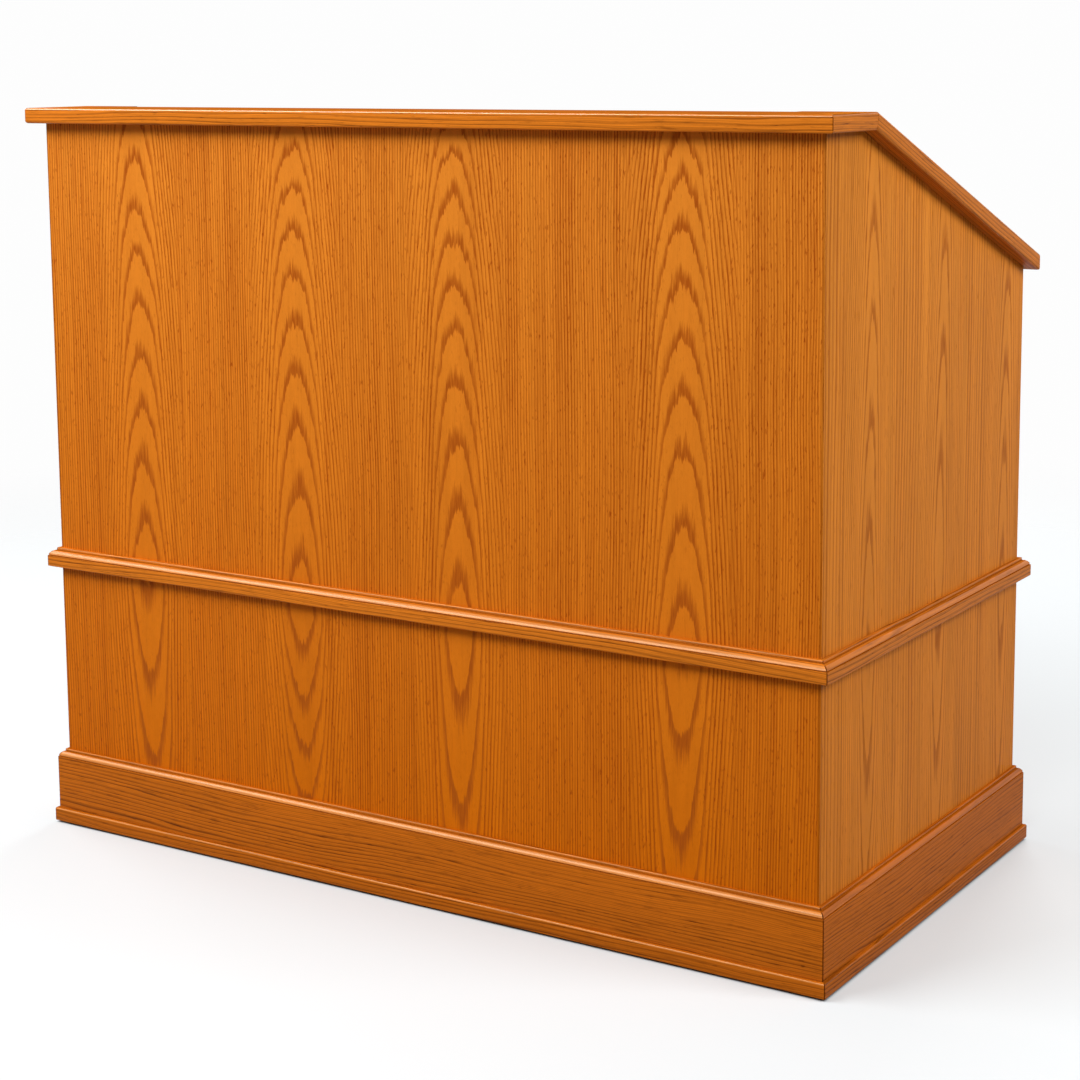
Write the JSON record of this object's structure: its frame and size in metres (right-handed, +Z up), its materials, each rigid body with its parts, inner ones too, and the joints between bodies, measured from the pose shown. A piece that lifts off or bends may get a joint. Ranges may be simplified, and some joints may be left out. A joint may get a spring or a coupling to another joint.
{
  "type": "multimedia lectern",
  "caption": "Oak-veneered cabinet lectern with sloping top caps, recessed work surface, keyboard drawer, rack bay and storage bay behind doors.",
  "frame": {"origin": "middle of the footprint of the whole part, on the floor", "axes": "+Z up, -Y towards the audience, +Y towards the presenter, +X to the audience's right"},
  "size_m": [1.336, 0.732, 1.118],
  "materials": {
    "oak": "satin",
    "oak_veneer": "satin",
    "birch": "satin",
    "laminate": "matte",
    "steel": "satin",
    "nickel": "satin",
    "black_metal": "satin",
    "black_plastic": "matte"
  },
  "bodies": {
    "cabinet": {"front_panel": "oak_veneer", "side_panel_left": "oak_veneer", "side_panel_right": "oak_veneer", "bottom_panel": "birch", "center_partition": "birch", "rack_partition": "birch", "drawer_deck": "birch", "work_surface": "laminate", "well_riser": "oak_veneer", "top_shelf": "oak_veneer", "nosing_front": "oak", "nosing_left": "oak", "nosing_right": "oak", "cap_left": "oak", "cap_right": "oak", "rear_rail": "oak", "chair_rail_front": "oak", "chair_rail_left": "oak", "chair_rail_right": "oak", "chair_return_left": "oak", "chair_return_right": "oak", "base_front": "oak", "base_left": "oak", "base_right": "oak", "base_rear": "oak", "shoe_front": "oak", "shoe_left": "oak", "shoe_right": "oak", "shoe_rear": "oak", "kick_rail": "birch", "stile_left": "oak", "stile_right": "oak", "stile_center": "oak", "apron_rail": "oak", "fascia_panel": "oak_veneer", "surface_cleats": "birch", "slide_hangers": "birch", "slide_outer": "steel", "hinge_frame_leaves": "nickel", "hinge_pins": "nickel", "rack_rails": "black_metal", "adjustable_shelf": "birch", "shelf_pins": "steel", "grommets": "black_plastic", "connection_plate": "black_metal", "glides": "black_plastic"},
    "door_left": {"door_left": "oak_veneer", "hinge_leaves_left": "nickel", "pull_left": "nickel"},
    "door_right": {"door_right": "oak_veneer", "hinge_leaves_right": "nickel", "pull_right": "nickel", "lock_barrel": "nickel", "vent_grille": "black_metal"},
    "lock_cam": {"lock_cam": "nickel"},
    "drawer": {"keyboard_tray": "laminate", "drawer_front": "oak_veneer", "slide_inner": "steel", "drawer_pull": "nickel"},
    "slide_middle": {"slide_middle": "steel"}
  },
  "joints": [
    {"name": "door_left_hinge", "type": "hinge", "parent": "cabinet", "child": "door_left", "pos_m": [-0.5775, 0.3385, 0.434], "axis": [0, 0, 1], "range_deg": [0, 110]},
    {"name": "door_right_hinge", "type": "hinge", "parent": "cabinet", "child": "door_right", "pos_m": [0.5775, 0.3385, 0.434], "axis": [0, 0, -1], "range_deg": [0, 110]},
    {"name": "lock_turn", "type": "hinge", "parent": "door_right", "child": "lock_cam", "pos_m": [0.052, 0.315, 0.66], "axis": [0, -1, 0], "range_deg": [0, 90]},
    {"name": "drawer_slide", "type": "slide", "parent": "cabinet", "child": "drawer", "axis": [0, 1, 0], "range_m": [0, 0.3]},
    {"name": "middle_slide", "type": "slide", "parent": "cabinet", "child": "slide_middle", "axis": [0, 1, 0], "range_m": [0, 0.15]}
  ],
  "couplings": [
    {"joint": "middle_slide", "follows": "drawer_slide", "ratio": 0.5}
  ]
}
